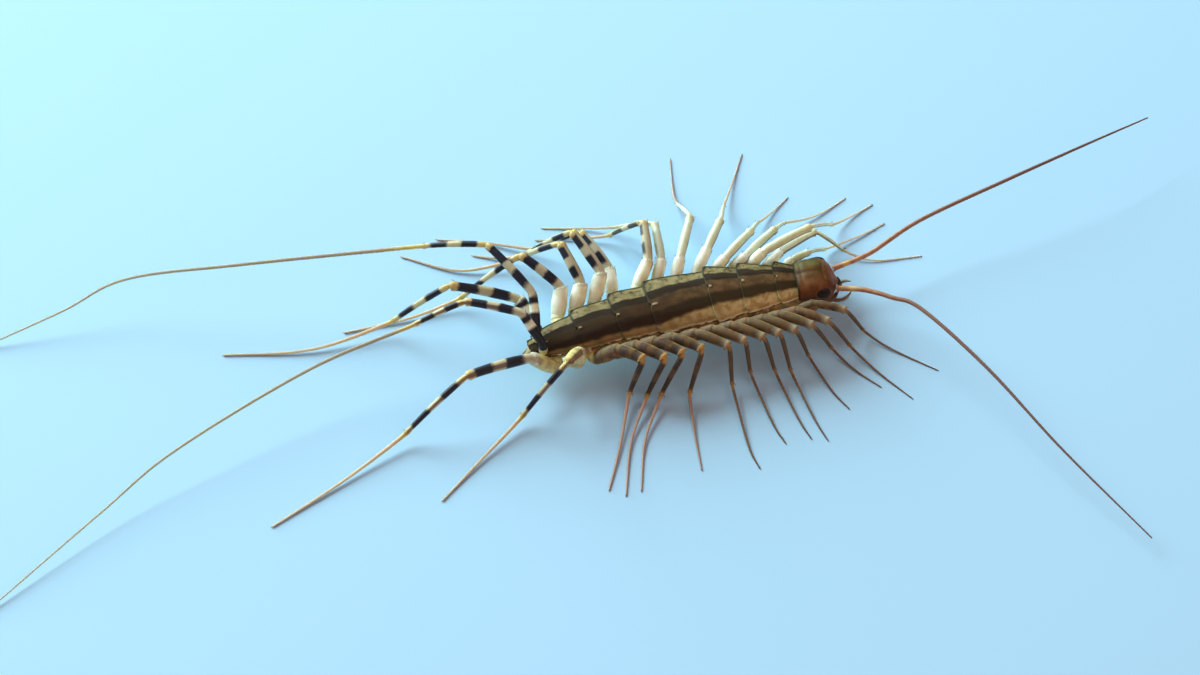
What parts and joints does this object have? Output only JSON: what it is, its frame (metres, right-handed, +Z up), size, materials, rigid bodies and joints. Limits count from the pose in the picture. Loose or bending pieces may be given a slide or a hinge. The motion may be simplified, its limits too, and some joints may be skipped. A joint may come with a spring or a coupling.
{
  "type": "house centipede",
  "caption": "House centipede standing still on spread legs, with banded legs, long curved antennae and trailing last legs; museum-style model.",
  "frame": {"origin": "on the floor, under the middle of the box that holds the whole animal", "axes": "+X ahead of the animal along its body, +Y to its left, +Z up from the floor"},
  "size_m": [0.1042, 0.0482, 0.0077],
  "materials": {
    "plates": "satin chitin, olive brown with two dark stripes along the back",
    "head": "satin chitin, olive above and reddish brown in front",
    "eyes": "glossy, faceted, near black",
    "feelers": "ringed with many short joints, orange brown",
    "mouthparts": "satin chitin, orange brown with dark tips",
    "legs": "pale straw chitin with dark blue-black bands, yellow-orange knees and orange feet"
  },
  "bodies": {
    "root": {"head": "head", "eye_left": "eyes", "eye_right": "eyes", "antenna_left": "feelers", "antenna_right": "feelers", "palp_left": "mouthparts", "palp_right": "mouthparts", "forcipule_left": "mouthparts", "forcipule_right": "mouthparts", "trunk_1": "plates", "trunk_2": "plates", "trunk_3": "plates", "trunk_4": "plates", "trunk_5": "plates", "trunk_6": "plates", "trunk_7": "plates", "trunk_8": "plates", "tail": "plates", "leg_left_01": "legs", "leg_left_02": "legs", "leg_left_03": "legs", "leg_left_04": "legs", "leg_left_05": "legs", "leg_left_06": "legs", "leg_left_07": "legs", "leg_left_08": "legs", "leg_left_09": "legs", "leg_left_10": "legs", "leg_left_11": "legs", "leg_left_12": "legs", "leg_left_13": "legs", "leg_left_14": "legs", "leg_left_15": "legs", "leg_right_01": "legs", "leg_right_02": "legs", "leg_right_03": "legs", "leg_right_04": "legs", "leg_right_05": "legs", "leg_right_06": "legs", "leg_right_07": "legs", "leg_right_08": "legs", "leg_right_09": "legs", "leg_right_10": "legs", "leg_right_11": "legs", "leg_right_12": "legs", "leg_right_13": "legs", "leg_right_14": "legs", "leg_right_15": "legs"}
  },
  "joints": []
}
